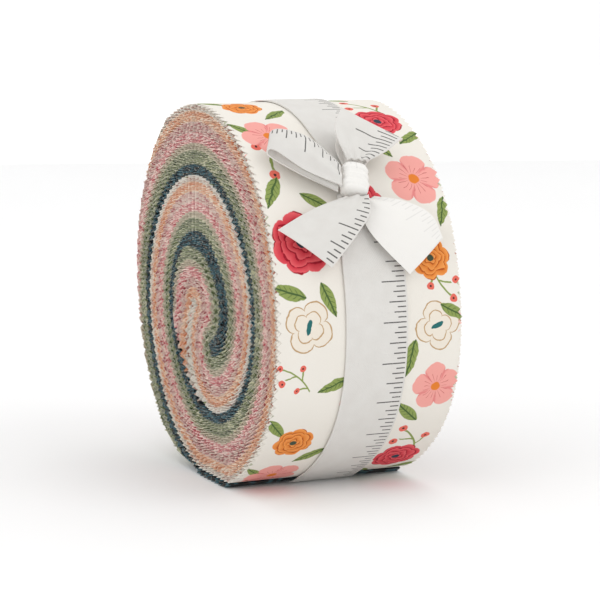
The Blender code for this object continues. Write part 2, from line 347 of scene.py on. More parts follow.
def cloth_mesh(name, points, thickness, uv):
    """A closed shell about a grid of points: both faces and the four narrow edges.

    Each point moves half the thickness along the surface normal, which is the cross product of
    the grid's row and column directions. uv goes into a map in millimetres, and the point
    attribute "face" is 1 on the printed side and 0 on the back.
    """
    along = np.gradient(points, axis=0)
    across = np.gradient(points, axis=1)
    normal = np.cross(along, across)
    normal /= np.maximum(np.linalg.norm(normal, axis=2), 1e-12)[..., None]
    shift = normal * (thickness / 2)
    top, bottom = points + shift, points - shift
    rows, columns = points.shape[:2]
    index = np.arange(rows * columns).reshape(rows, columns)
    under = index + rows * columns

    def wall(a, b):
        return np.stack([a[:-1], b[:-1], b[1:], a[1:]], -1)

    faces = np.concatenate([
        quads(index),
        quads(under)[:, ::-1],
        wall(index[:, 0], under[:, 0]),
        wall(index[:, -1], under[:, -1])[:, ::-1],
        wall(index[0], under[0])[:, ::-1],
        wall(index[-1], under[-1]),
    ])
    places = np.concatenate([top.reshape(-1, 3), bottom.reshape(-1, 3)])
    mesh = bpy.data.meshes.new(name)
    mesh.from_pydata(places.tolist(), [], faces.tolist())
    flat = np.concatenate([uv.reshape(-1, 2)] * 2) / MM
    layer = mesh.uv_layers.new(name="cloth")
    layer.data.foreach_set("uv", flat[faces.reshape(-1)].astype(np.float32).reshape(-1))
    side = mesh.attributes.new("face", "FLOAT", "POINT")
    values = np.repeat([1.0, 0.0], rows * columns).astype(np.float32)
    side.data.foreach_set("value", values)
    mesh.update()
    return mesh


def strip_points(course, tooth, columns, sag=None):
    """The strip's grid of points: its course drawn out along X, with a tooth every 3 mm."""
    half = STRIP_WIDTH / 2 - TOOTH_DEPTH * tooth
    share = np.linspace(-1.0, 1.0, columns)
    points = np.empty((len(course), columns, 3))
    points[..., 0] = half[:, None] * share
    points[..., 1] = -course[:, 0][:, None]
    points[..., 2] = CENTRE_HEIGHT + course[:, 1][:, None]
    if sag is not None:
        points[..., 2] -= sag(course, points[..., 0])
    return points


def node_tree_kit(tree):
    """Short calls that add nodes to one tree: a number or a socket is given for each input."""
    nodes, links = tree.nodes, tree.links

    def feed(socket, value):
        if isinstance(value, bpy.types.NodeSocket):
            links.new(value, socket)
        else:
            socket.default_value = value

    def calc(operation, *values, clamp=False):
        node = nodes.new("ShaderNodeMath")
        node.operation = operation
        node.use_clamp = clamp
        for socket, value in zip(node.inputs, values):
            feed(socket, value)
        return node.outputs[0]

    def blend(factor, a, b):
        node = nodes.new("ShaderNodeMix")
        node.data_type = "RGBA"
        feed(node.inputs["Factor"], factor)
        feed(node.inputs["A"], a)
        feed(node.inputs["B"], b)
        return node.outputs["Result"]

    def rise(value, low, high):
        node = nodes.new("ShaderNodeMapRange")
        node.interpolation_type = "SMOOTHSTEP"
        feed(node.inputs["Value"], value)
        feed(node.inputs["From Min"], low)
        feed(node.inputs["From Max"], high)
        return node.outputs["Result"]

    def noise(vector, scale, detail=2.0):
        node = nodes.new("ShaderNodeTexNoise")
        feed(node.inputs["Vector"], vector)
        node.inputs["Scale"].default_value = scale
        node.inputs["Detail"].default_value = detail
        return node.outputs["Fac"]

    return feed, calc, blend, rise, noise


def new_group(name, inputs, outputs):
    """A shader node group with named inputs and outputs, each (name, kind)."""
    group = bpy.data.node_groups.new(name, "ShaderNodeTree")
    for label, kind in inputs:
        group.interface.new_socket(label, in_out="INPUT", socket_type="NodeSocket" + kind)
    for label, kind in outputs:
        group.interface.new_socket(label, in_out="OUTPUT", socket_type="NodeSocket" + kind)
    start = group.nodes.new("NodeGroupInput")
    end = group.nodes.new("NodeGroupOutput")
    return group, start.outputs, end.inputs


def make_weave():
    """Plain weave: threads go over and under by turns, as a height from 0 to 1."""
    group, given, result = new_group(
        "plain weave", [("Map", "Vector"), ("Pitch", "Float")], [("Height", "Float")]
    )
    feed, calc, blend, rise, noise = node_tree_kit(group)
    split = group.nodes.new("ShaderNodeSeparateXYZ")
    feed(split.inputs[0], given["Map"])
    u = calc("DIVIDE", split.outputs[0], given["Pitch"])
    v = calc("DIVIDE", split.outputs[1], given["Pitch"])
    over = calc("MODULO", calc("ADD", calc("FLOOR", u), calc("FLOOR", v)), 2.0)
    over = calc("ABSOLUTE", over)
    warp = calc("ABSOLUTE", calc("SINE", calc("MULTIPLY", u, pi)))
    weft = calc("ABSOLUTE", calc("SINE", calc("MULTIPLY", v, pi)))
    upper = calc("MULTIPLY", warp, over)
    lower = calc("MULTIPLY", weft, calc("SUBTRACT", 1.0, over))
    feed(result["Height"], calc("ADD", upper, lower))
    return group


WEAVE = make_weave()


def woven_material(name, roughness, shine, pitch, strength, height):
    """A matt finish with the weave as a bump, and the sockets from which it is coloured.

    Returns the node tree and its kit, the colour's socket, the cloth's map and its face mask.
    """
    material = bpy.data.materials.new(name)
    material.use_nodes = True
    tree = material.node_tree
    kit = node_tree_kit(tree)
    feed = kit[0]
    shader = tree.nodes["Principled BSDF"]
    shader.inputs["Roughness"].default_value = roughness
    shader.inputs["Specular IOR Level"].default_value = shine
    where = tree.nodes.new("ShaderNodeUVMap")
    where.uv_map = "cloth"
    side = tree.nodes.new("ShaderNodeAttribute")
    side.attribute_name = "face"
    weave = tree.nodes.new("ShaderNodeGroup")
    weave.node_tree = WEAVE
    feed(weave.inputs["Map"], where.outputs[0])
    weave.inputs["Pitch"].default_value = pitch
    bump = tree.nodes.new("ShaderNodeBump")
    bump.inputs["Strength"].default_value = strength
    bump.inputs["Distance"].default_value = height
    feed(bump.inputs["Height"], weave.outputs["Height"])
    feed(shader.inputs["Normal"], bump.outputs["Normal"])
    paint = shader.inputs["Base Color"]
    return material, tree, kit, paint, where.outputs[0], side.outputs["Fac"]


RIM_CREAM = colour(226, 216, 198)


def cotton_material(name, dye, back_share=0.4, fibre=0.5):
    """Quilting cotton: a printed face, a paler back, a woven bump and a frayed pinked rim.

    dye(kit, tree, map, tone) gives the print's colour on the face. At the rim the cut threads
    show: undyed fibre is mixed in by a fine noise, more of it towards the tips of the teeth.
    """
    made = woven_material(name, 0.9, 0.25, 0.36, 0.35, 0.00008)
    material, tree, kit, paint, where, printed_side = made
    feed, calc, blend, rise, noise = kit
    tone = tree.nodes.new("ShaderNodeAttribute")
    tone.attribute_name = "tone"
    split = tree.nodes.new("ShaderNodeSeparateXYZ")
    feed(split.inputs[0], where)
    face = dye(kit, tree, where, tone.outputs["Fac"])
    back = blend(back_share, face, colour(236, 231, 224))
    cloth = blend(printed_side, back, face)
    place = tree.nodes.new("ShaderNodeTexCoord").outputs["Object"]
    frayed = rise(noise(place, 2100.0, 3.0), 0.60 - 0.3 * fibre, 0.78 - 0.3 * fibre)
    tips = rise(calc("ABSOLUTE", split.outputs[1]), 30.6, 31.9)
    cut = calc("MULTIPLY", tips, frayed)
    feed(paint, blend(calc("MULTIPLY", cut, 0.7), cloth, RIM_CREAM))
    return material


def small_print(light, strong, spot, per_mm):
    """A dye for a family of strips: its shade changes from strip to strip and along each one.

    Small rings are scattered over the ground, and a coarse noise along the strip lets lighter
    and darker stretches of the prints come to the edge.
    """

    def dye(kit, tree, place, tone):
        feed, calc, blend, rise, noise = kit
        shift = tree.nodes.new("ShaderNodeCombineXYZ")
        feed(shift.inputs[2], calc("MULTIPLY", tone, 37.0))
        moved = tree.nodes.new("ShaderNodeVectorMath")
        moved.operation = "ADD"
        feed(moved.inputs[0], place)
        feed(moved.inputs[1], shift.outputs[0])
        spread = noise(moved.outputs[0], 0.2, 4.0)
        share = calc("ADD", tone, calc("MULTIPLY", calc("SUBTRACT", spread, 0.5), 3.6), clamp=True)
        ground = blend(share, light, strong)
        spots = tree.nodes.new("ShaderNodeTexVoronoi")
        spots.voronoi_dimensions = "2D"
        feed(spots.inputs["Vector"], moved.outputs[0])
        spots.inputs["Scale"].default_value = per_mm
        spots.inputs["Randomness"].default_value = 0.45
        ring = rise(spots.outputs["Distance"], 0.34, 0.26)
        eye = rise(spots.outputs["Distance"], 0.16, 0.10)
        return blend(calc("SUBTRACT", ring, eye), ground, spot)

    return dye


FAMILIES = (
    # family, first strip, strips, lighter tint, stronger tint, small print, prints per mm
    ("white", 1, 3, (244, 240, 232), (210, 202, 190), (176, 120, 104), 0.16),
    ("orange", 4, 6, (236, 190, 152), (206, 120, 72), (246, 228, 208), 0.13),
    ("pale_pink", 10, 6, (226, 206, 196), (214, 176, 166), (170, 70, 80), 0.18),
    ("rose", 16, 6, (226, 150, 150), (190, 66, 86), (246, 222, 214), 0.15),
    ("taupe", 22, 4, (206, 196, 172), (160, 146, 120), (110, 70, 60), 0.20),
    ("green", 26, 8, (146, 156, 112), (66, 84, 42), (206, 206, 172), 0.14),
    ("teal", 34, 6, (4, 62, 78), (0, 14, 22), (64, 108, 120), 0.12),
)
FRAYED = {"teal": 0.3, "green": 0.4}
PALE_BACKS = {"teal": 0.12}
FAMILY_TONES = (0.3, 0.95, 0.7, 0.2, 0.85, 0.1, 0.55, 0.9, 0.4)


def set_tone(mesh, value):
    """One shade for the whole strip, as a point attribute."""
    tone = mesh.attributes.new("tone", "FLOAT", "POINT")
    tone.data.foreach_set("value", np.full(len(mesh.vertices), value, np.float32))


LOOSE_HELD, LOOSE_FREE = 12.0 * MM, 20.0 * MM
LOOSE_SPACING = 1.6
LOOSE_TONE = 2.0
LOOSE_SAG = 0.55 * MM
RIBBON_MIDDLE = (band_low[0] + band_high[0]) / 2


def loose_sag(course, x):
    """How far the loose end hangs: its layers open a little, and sink beside the ribbon."""
    forward, up = course[:, 0], course[:, 1]
    depth = np.maximum(UNDERSIDE - up, 0.0)
    free = smooth_step((np.abs(x - RIBBON_MIDDLE) - LOOSE_HELD) / (LOOSE_FREE - LOOSE_HELD))
    near = smooth_step((forward + 12.0 * MM) / (8.0 * MM)) * (depth > 0.0)
    spread = (depth * (LOOSE_SPACING - 1.0))[:, None]
    return (spread + free * LOOSE_SAG) * near[:, None]


for family, first, count, light, strong, spot, per_mm in FAMILIES:
    dye = small_print(colour(*light), colour(*strong), colour(*spot), per_mm)
    pale, frayed = PALE_BACKS.get(family, 0.4), FRAYED.get(family, 0.5)
    finish = cotton_material(family + " strip cotton", dye, back_share=pale, fibre=frayed)
    for number in range(first, first + count):
        course, tooth, length = strip_line(number)
        loose = number >= STRIPS - LOOSE_STRIPS
        points = strip_points(course, tooth, 17 if loose else 2, loose_sag if loose else None)
        uv = np.stack(np.broadcast_arrays(length[:, None], points[..., 0]), -1)
        mesh = cloth_mesh(f"strip_{number:02d}_{family}", points, CLOTH, uv)
        shade = FAMILY_TONES[(number - first) % len(FAMILY_TONES)]
        set_tone(mesh, LOOSE_TONE if loose else shade)
        strip = add(mesh.name, mesh, finish)
        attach(strip, "root")
        if loose:
            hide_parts("roll", "loose_end")
        else:
            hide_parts("roll")

# The outer strip.
# The last strip of the stack lies outside: cream quilting cotton with a flower print, pinked
# and folded like the others, its cut end at the top of the back.
REPEAT = 130.0
MOTIF_INPUTS = ("Along", "Across", "Size", "Turn")


def motif_group(name, outputs):
    """A print motif's group and its own polar place: x, y, distance and turning angle.

    The map's place is taken from the motif's middle, wrapped at the repeat, turned and
    divided by the motif's half size.
    """
    group, given, result = new_group(
        name,
        [("Map", "Vector")] + [(label, "Float") for label in MOTIF_INPUTS],
        [(label, "Float") for label in outputs],
    )
    kit = node_tree_kit(group)
    feed, calc, blend, rise, noise = kit
    split = group.nodes.new("ShaderNodeSeparateXYZ")
    feed(split.inputs[0], given["Map"])
    along = calc("SUBTRACT", split.outputs[0], given["Along"])
    along = calc("WRAP", along, REPEAT / 2, -REPEAT / 2)
    across = calc("SUBTRACT", split.outputs[1], given["Across"])
    wobble = noise(given["Map"], 0.35, 2.0)
    ease = calc("MULTIPLY", calc("SUBTRACT", wobble, 0.5), 1.2)
    local = group.nodes.new("ShaderNodeCombineXYZ")
    feed(local.inputs[0], calc("DIVIDE", calc("ADD", along, ease), given["Size"]))
    feed(local.inputs[1], calc("DIVIDE", calc("ADD", across, ease), given["Size"]))
    turned = group.nodes.new("ShaderNodeVectorRotate")
    turned.rotation_type = "Z_AXIS"
    feed(turned.inputs["Vector"], local.outputs[0])
    feed(turned.inputs["Angle"], given["Turn"])
    parts = group.nodes.new("ShaderNodeSeparateXYZ")
    feed(parts.inputs[0], turned.outputs[0])
    x, y = parts.outputs[0], parts.outputs[1]
    distance = calc("SQRT", calc("ADD", calc("MULTIPLY", x, x), calc("MULTIPLY", y, y)))
    angle = calc("ARCTAN2", y, x)
    return group, kit, result, x, y, distance, angle, given["Map"]


def lobes(calc, angle, half_count, power, phase=0.0):
    """Rounded lobes round a circle: |cos(half_count * angle + phase)| to a power."""
    wave = calc("COSINE", calc("ADD", calc("MULTIPLY", angle, half_count), phase))
    return calc("POWER", calc("ABSOLUTE", wave), power)


def make_open_flower():
    """Five round petals with fine dark lines towards a small heart."""
    group, kit, result, x, y, distance, angle, place = motif_group(
        "open flower print", ("Petals", "Shade", "Lines", "Heart")
    )
    feed, calc, blend, rise, noise = kit
    reach = calc("ADD", 0.66, calc("MULTIPLY", lobes(calc, angle, 2.5, 0.5), 0.32))
    feed(result["Petals"], rise(calc("SUBTRACT", reach, distance), 0.0, 0.03))
    between = calc("SUBTRACT", 1.0, rise(lobes(calc, angle, 2.5, 1.0), 0.05, 0.35))
    feed(result["Shade"], calc("MULTIPLY", between, rise(distance, 0.15, 0.5)))
    waves = calc("ABSOLUTE", calc("SINE", calc("ADD", calc("MULTIPLY", angle, 8.5), distance)))
    lines = calc("MULTIPLY", rise(waves, 0.22, 0.08), rise(distance, 0.2, 0.26))
    ends = calc("ADD", 0.46, calc("MULTIPLY", lobes(calc, angle, 6.5, 1.0), 0.14))
    short = rise(calc("SUBTRACT", ends, distance), 0.0, 0.05)
    feed(result["Lines"], calc("MULTIPLY", lines, short))
    feed(result["Heart"], rise(distance, 0.20, 0.16))
    return group


def make_rosette():
    """A full bloom of scalloped rings: dark seams between rings of two tones, a dark heart."""
    group, kit, result, x, y, distance, angle, place = motif_group(
        "rosette print", ("Body", "Tone", "Seams", "Heart")
    )
    feed, calc, blend, rise, noise = kit
    reach = calc("ADD", 0.84, calc("MULTIPLY", lobes(calc, angle, 3.5, 0.6), 0.14))
    feed(result["Body"], rise(calc("SUBTRACT", reach, distance), 0.0, 0.03))
    rings = calc("MULTIPLY", calc("DIVIDE", distance, reach), 4.0)
    swing = calc("SINE", calc("ADD", calc("MULTIPLY", angle, 4.0), calc("MULTIPLY", rings, 1.9)))
    rings = calc("ADD", rings, calc("MULTIPLY", swing, 0.22))
    depth = calc("FRACT", rings)
    feed(result["Tone"], depth)
    seam = calc("ADD", rise(depth, 0.20, 0.10), rise(depth, 0.92, 0.98), clamp=True)
    broken = rise(noise(place, 0.55, 1.0), 0.36, 0.44)
    feed(result["Seams"], calc("MULTIPLY", seam, broken))
    feed(result["Heart"], rise(distance, 0.17, 0.14))
    return group


def make_leaf():
    """A pointed leaf: half its width is a share of (1 - x*x) along it, with slanting veins."""
    group, kit, result, x, y, distance, angle, place = motif_group(
        "leaf print", ("Blade", "Veins")
    )
    feed, calc, blend, rise, noise = kit
    left = calc("SUBTRACT", 1.0, calc("MULTIPLY", x, x), clamp=True)
    taper = calc("ADD", 0.36, calc("MULTIPLY", x, -0.10))
    width = calc("MULTIPLY", calc("POWER", left, 0.85), taper)
    off = calc("ABSOLUTE", y)
    feed(result["Blade"], rise(calc("SUBTRACT", width, off), 0.0, 0.04))
    middle = rise(off, 0.055, 0.03)
    slant = calc("FRACT", calc("MULTIPLY", calc("SUBTRACT", x, calc("MULTIPLY", off, 1.1)), 3.4))
    side = calc("MULTIPLY", rise(slant, 0.22, 0.12), rise(off, 0.26, 0.2))
    feed(result["Veins"], calc("MAXIMUM", middle, calc("MULTIPLY", side, 0.8)))
    return group


def make_sprig():
    """A thin bowed stem with four side stalks, and a berry with a dark eye on each end."""
    group, kit, result, x, y, distance, angle, place = motif_group(
        "sprig print", ("Stem", "Berries", "Eyes")
    )
    feed, calc, blend, rise, noise = kit
    bow = calc("MULTIPLY", calc("MULTIPLY", x, x), 0.22)
    off = calc("ABSOLUTE", calc("SUBTRACT", y, bow))
    inside = calc("MULTIPLY", rise(x, -1.0, -0.96), rise(x, 0.80, 0.74))
    stem = calc("MULTIPLY", rise(off, 0.045, 0.025), inside)
    berries, eyes = 0.0, 0.0
    ends = ((-0.45, 0.52, 0.45), (0.0, -0.42, -0.5), (0.38, 0.66, 0.42), (0.92, 0.18, 0.1))
    for end_x, end_y, rise_y in ends:
        side = calc("SUBTRACT", y, bow)
        reach = calc("DIVIDE", side, rise_y)
        start = end_x - 0.34
        ahead = calc("SUBTRACT", x, start)
        gap = calc("ABSOLUTE", calc("SUBTRACT", ahead, calc("MULTIPLY", reach, 0.34)))
        kept = calc("MULTIPLY", rise(reach, 0.0, 0.02), rise(reach, 1.0, 0.95))
        stem = calc("MAXIMUM", stem, calc("MULTIPLY", rise(gap, 0.06, 0.035), kept))
        dx, dy = calc("SUBTRACT", x, end_x), calc("SUBTRACT", y, end_y)
        away = calc("SQRT", calc("ADD", calc("MULTIPLY", dx, dx), calc("MULTIPLY", dy, dy)))
        berries = calc("MAXIMUM", berries, rise(away, 0.17, 0.145))
        eyes = calc("MAXIMUM", eyes, rise(away, 0.055, 0.035))
    feed(result["Stem"], stem)
    feed(result["Berries"], berries)
    feed(result["Eyes"], eyes)
    return group


def make_line_flower():
    """A flower in outline only: two lobed rings and a narrow heart."""
    group, kit, result, x, y, distance, angle, place = motif_group(
        "line flower print", ("Fill", "Lines", "Heart")
    )
    feed, calc, blend, rise, noise = kit
    reach = calc("ADD", 0.62, calc("MULTIPLY", lobes(calc, angle, 2.0, 0.6, 0.4), 0.34))
    feed(result["Fill"], rise(calc("SUBTRACT", reach, distance), 0.0, 0.03))
    outer = rise(calc("ABSOLUTE", calc("SUBTRACT", reach, distance)), 0.035, 0.02)
    share = calc("MULTIPLY", reach, 0.62)
    inner = rise(calc("ABSOLUTE", calc("SUBTRACT", share, distance)), 0.03, 0.015)
    feed(result["Lines"], calc("MAXIMUM", outer, inner))
    slim = calc("MULTIPLY", y, 2.8)
    oval = calc("SQRT", calc("ADD", calc("MULTIPLY", x, x), calc("MULTIPLY", slim, slim)))
    feed(result["Heart"], rise(oval, 0.30, 0.26))
    return group


OPEN_FLOWER, ROSETTE, LEAF = make_open_flower(), make_rosette(), make_leaf()
SPRIG, LINE_FLOWER = make_sprig(), make_line_flower()
LEAF_GREEN, LEAF_VEIN = colour(136, 152, 84), colour(72, 96, 54)
SPRIGS = (
    # along, across, half length, turn
    (70.0, -22.0, 11.5, 0.4),
    (45.0, 23.0, 9.5, 2.6),
    (118.0, 24.0, 8.0, -0.5),
    (15.0, -24.5, 7.0, 2.2),
)
LEAVES = (
    # along, across, half length, turn
    (49.0, -12.5, 6.0, 0.9),
    (34.0, -28.0, 5.5, -0.7),
    (58.5, -28.0, 5.0, 2.4),
    (87.0, -27.0, 6.5, 0.5),
    (91.0, -13.0, 6.0, -1.0),
    (119.0, -27.5, 6.5, 1.9),
    (122.0, -14.0, 6.0, -0.4),
    (19.0, -12.0, 5.5, 1.2),
    (12.0, 14.0, 6.5, 0.2),
    (31.0, 16.0, 6.0, 2.3),
    (66.0, 28.0, 6.0, 1.0),
    (70.0, 15.0, 6.5, -0.6),
    (96.0, 29.0, 5.5, 0.3),
    (104.0, 14.0, 5.5, 1.8),
    (128.0, 29.0, 5.5, -1.1),
    (40.0, 4.0, 6.5, 0.6),
    (78.0, 3.0, 6.0, -0.9),
    (112.0, 2.0, 6.0, 1.4),
)
PINK_FLOWERS = (
    (63.0, -20.0, 9.5, 0.2),
    (84.0, 22.5, 10.0, 0.9),
    (22.0, 24.0, 8.5, 0.5),
    (24.0, -1.0, 8.0, 1.3),
)
RED_ROSETTES = ((104.0, -21.0, 10.5, 0.3), (56.0, 21.0, 8.5, 0.8), (92.0, 2.0, 8.0, 0.1))
ORANGE_ROSETTES = ((41.0, -20.5, 7.0, 0.6), (111.0, 22.0, 7.0, 0.1), (58.0, 1.0, 6.5, 0.4))
LINE_FLOWERS = ((0.0, -21.0, 8.5, 0.3), (2.0, 23.0, 8.0, 1.1), (128.0, 0.0, 7.5, 0.7))
ZONES = 5


def flower_dye(zone):
    """The print's dye for one fifth of its repeat, with only the motifs that reach into it."""

    def dye(kit, tree, place, tone):
        return flower_print(kit, tree, place, (zone + 0.5) * REPEAT / ZONES)

    return dye


def flower_print(kit, tree, place, zone_middle):
    """Cream ground with sprigs, leaves, line flowers, open flowers and rosettes upon it."""
    feed, calc, blend, rise, noise = kit

    def near(spots):
        off = [(spot[0] - zone_middle + REPEAT / 2) % REPEAT - REPEAT / 2 for spot in spots]
        reach = [spot[2] * 1.1 + REPEAT / ZONES / 2 + 1.0 for spot in spots]
        return [spot for spot, o, r in zip(spots, off, reach) if abs(o) < r]

    def motif(group, spot):
        node = tree.nodes.new("ShaderNodeGroup")
        node.node_tree = group
        feed(node.inputs["Map"], place)
        for label, value in zip(MOTIF_INPUTS, spot):
            node.inputs[label].default_value = value
        return node.outputs

    cloth = blend(noise(place, 0.05, 1.0), colour(232, 228, 220), colour(226, 221, 212))
    for spot in near(LINE_FLOWERS):
        parts = motif(LINE_FLOWER, spot)
        cloth = blend(calc("MULTIPLY", parts["Fill"], 0.55), cloth, colour(228, 216, 198))
        cloth = blend(parts["Lines"], cloth, colour(184, 152, 112))
        cloth = blend(parts["Heart"], cloth, colour(40, 104, 104))
    for spot in near(SPRIGS):
        parts = motif(SPRIG, spot)
        cloth = blend(parts["Stem"], cloth, LEAF_GREEN)
        cloth = blend(parts["Berries"], cloth, colour(222, 106, 92))
        cloth = blend(parts["Eyes"], cloth, colour(70, 40, 40))
    for spot in near(LEAVES):
        parts = motif(LEAF, spot)
        cloth = blend(parts["Blade"], cloth, LEAF_GREEN)
        vein = calc("MULTIPLY", parts["Veins"], parts["Blade"])
        cloth = blend(vein, cloth, LEAF_VEIN)
    for spot in near(PINK_FLOWERS):
        parts = motif(OPEN_FLOWER, spot)
        petals = blend(parts["Shade"], colour(234, 162, 154), colour(222, 132, 130))
        petals = blend(parts["Lines"], petals, colour(186, 84, 88))
        petals = blend(parts["Heart"], petals, colour(222, 126, 48))
        cloth = blend(parts["Petals"], cloth, petals)
    for spots, inner, outer, seam, heart in (
        (RED_ROSETTES, (196, 40, 58), (226, 96, 102), (150, 22, 40), (48, 62, 76)),
        (ORANGE_ROSETTES, (214, 116, 40), (236, 158, 84), (176, 78, 28), (66, 78, 62)),
    ):
        for spot in near(spots):
            parts = motif(ROSETTE, spot)
            bloom = blend(parts["Tone"], colour(*inner), colour(*outer))
            bloom = blend(parts["Seams"], bloom, colour(*seam))
            bloom = blend(parts["Heart"], bloom, colour(*heart))
            cloth = blend(parts["Body"], cloth, bloom)
    return cloth


course, tooth, length = strip_line(0)
points = strip_points(course, tooth, 9)
uv = np.stack(np.broadcast_arrays(length[:, None], points[..., 0]), -1)
outer_mesh = cloth_mesh("strip_00_outer", points, CLOTH, uv)
set_tone(outer_mesh, 0.5)
finish = cotton_material("flower print cotton 1", flower_dye(0), fibre=0.3)
outer_strip = add("strip_00_outer", outer_mesh, finish)
for zone in range(1, ZONES):
    finish = cotton_material(f"flower print cotton {zone + 1}", flower_dye(zone), fibre=0.3)
    outer_mesh.materials.append(finish)
corner = np.zeros(len(outer_mesh.loops) * 2, np.float32)
outer_mesh.uv_layers["cloth"].data.foreach_get("uv", corner)
face_middle = corner.reshape(-1, 4, 2)[..., 0].mean(1)
zones = (face_middle % REPEAT / (REPEAT / ZONES)).astype(np.int32) % ZONES
outer_mesh.polygons.foreach_set("material_index", zones)
outer_mesh.update()
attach(outer_strip, "root")
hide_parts("roll")

# The ribbon round the roll.
# A narrow cotton ribbon, white with a ruler's marks along one edge, goes once round the middle
# of the roll and over the loose end. It is pulled tight and gathered where the bow holds it.
RIBBON_HALF = 10.5 * MM
RIBBON_CLOTH = 0.45 * MM
KNOT_X = -1.3 * MM
KNOT_ANGLE = 39.3
MARK_SPACING = 1.6


def hull(points):
    """The points of a flat set that a tight band would touch, in turning order."""
    points = points[np.lexsort((points[:, 1], points[:, 0]))]

    def chain(run):
        kept = []
        for p in run:
            while len(kept) > 1:
                a, b = kept[-1] - kept[-2], p - kept[-2]
                if a[0] * b[1] - a[1] * b[0] > 0:
                    break
                kept.pop()
            kept.append(p)
        return kept[:-1]

    return np.array(chain(points) + chain(points[::-1]))


def tight_line(count):
    """The ribbon's line round the roll: the hull of roll and loose end, evenly spaced."""
    fractions, ends = np.array(LAYER_ENDS).T
    share = np.linspace(0.0, 1.0, 25)
    end = np.interp(share, fractions, ends)
    inner, outer = boundary(end), boundary(end + 360.0)
    stagger = inner + share[:, None] * (outer - inner)
    face = boundary(np.linspace(ends[-1] + 360.0, ends[0], 400))
    loose = boundary(np.linspace(ends[0] + 1.5, LOOSE_STOP, 30)) - [0.0, 1.6 * MM]
    tight = hull(np.concatenate([face, stagger, loose]))
    closed = np.concatenate([tight, tight[:1]])
    run = np.concatenate([[0.0], np.cumsum(np.linalg.norm(np.diff(closed, axis=0), axis=1))])
    even = np.linspace(0.0, run[-1], count, endpoint=False)
    line = np.stack([np.interp(even, run, closed[:, i]) for i in (0, 1)], 1)
    for _ in range(2):
        line = (np.roll(line, 1, 0) + 2 * line + np.roll(line, -1, 0)) / 4
    return line, run[-1]


TIGHT, TIGHT_LENGTH = tight_line(360)
TIGHT_ANGLE = np.degrees(np.arctan2(TIGHT[:, 1], TIGHT[:, 0])) % 360.0
TIGHT_ORDER = np.argsort(TIGHT_ANGLE)
TIGHT_ANGLES = TIGHT_ANGLE[TIGHT_ORDER]
TIGHT_RADII = np.linalg.norm(TIGHT, axis=1)[TIGHT_ORDER]


def over_roll(x, angle, lift):
    """Places over the roll: x, an angle in the section, and a height above the tight line."""
    radius = np.interp(angle, TIGHT_ANGLES, TIGHT_RADII, period=360.0) + lift
    turn = np.radians(angle)
    x, radius, turn = np.broadcast_arrays(x, radius, turn)
    return np.stack([x, -radius * np.cos(turn), CENTRE_HEIGHT + radius * np.sin(turn)], -1)


def ruler_print(kit, tree, place):
    """White ribbon with black ruler marks: one every 1.6 mm, longer ones every 2, 4 and 8."""
    feed, calc, blend, rise, noise = kit
    split = tree.nodes.new("ShaderNodeSeparateXYZ")
    feed(split.inputs[0], place)
    along = calc("DIVIDE", split.outputs[0], MARK_SPACING)
    from_edge = calc("SUBTRACT", 10.5, split.outputs[1])
    marks = 0.0
    for step, reach in ((1, 3.4), (2, 4.6), (4, 6.2), (8, 8.4)):
        off = calc("PINGPONG", calc("DIVIDE", along, step), 0.5)
        line = rise(calc("MULTIPLY", off, step * MARK_SPACING), 0.24, 0.15)
        span = calc("MULTIPLY", rise(from_edge, 0.5, 0.6), rise(from_edge, reach + 0.1, reach))
        marks = calc("MAXIMUM", marks, calc("MULTIPLY", line, span))
    worn = rise(noise(place, 3.0, 2.0), 0.25, 0.42)
    ink = calc("MULTIPLY", calc("MULTIPLY", marks, worn), 0.9)
    ground = blend(noise(place, 0.2, 2.0), colour(220, 218, 214), colour(210, 207, 202))
    return blend(ink, ground, colour(44, 42, 42))


def ribbon_material():
    """The ribbon's cotton: ruler print on the face, its faint show-through on the back."""
    made = woven_material("ruler ribbon cotton", 0.85, 0.3, 0.42, 0.4, 0.0001)
    material, tree, kit, paint, where, printed_side = made
    feed, calc, blend, rise, noise = kit
    face = ruler_print(kit, tree, where)
    back = blend(0.86, face, colour(236, 234, 230))
    feed(paint, blend(printed_side, back, face))
    return material


RIBBON_COTTON = ribbon_material()


def add_ribbon(name, points, uv, node):
    """A length of ribbon from its grid, in the place of its plain solid."""
    mesh = cloth_mesh(name, points, RIBBON_CLOTH, uv)
    piece = add(name, mesh, RIBBON_COTTON)
    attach(piece, "root")
    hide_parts(node)
    return piece


angle = KNOT_ANGLE + np.linspace(2.0, 358.0, 481)
away = np.minimum(angle - KNOT_ANGLE, KNOT_ANGLE + 360.0 - angle)
gather = 1.0 - smooth_step(away / 26.0)
above = smooth_step((90.0 - (angle - KNOT_ANGLE)) / 60.0) * (angle < KNOT_ANGLE + 180.0)
s = np.linspace(-1.0, 1.0, 25)
half = RIBBON_HALF * (1.0 - 0.55 * gather - 0.12 * above)
middle = RIBBON_MIDDLE + (KNOT_X - RIBBON_MIDDLE) * gather + 1.4 * MM * above
x = middle[:, None] + half[:, None] * s
fold = np.cos(s * 3.2 * pi + 0.6)[None] * gather[:, None] ** 1.5
edge = np.abs(s)[None] ** 6 * (1.0 - gather[:, None]) * np.sin(np.radians(angle * 7.0))[:, None]
lift = RIBBON_CLOTH / 2 + 0.2 * MM + 0.55 * MM * (gather[:, None] + fold)
lift = lift + 0.10 * MM * (edge + 1.0)
points = over_roll(x, angle[:, None], lift)
run = TIGHT_LENGTH * (angle - angle[0]) / 360.0
uv = np.stack(np.broadcast_arrays(run[:, None], s * RIBBON_HALF), -1)
points, uv = points[:, ::-1], uv[:, ::-1]
add_ribbon("ribbon_round", points, uv, "tie_band")

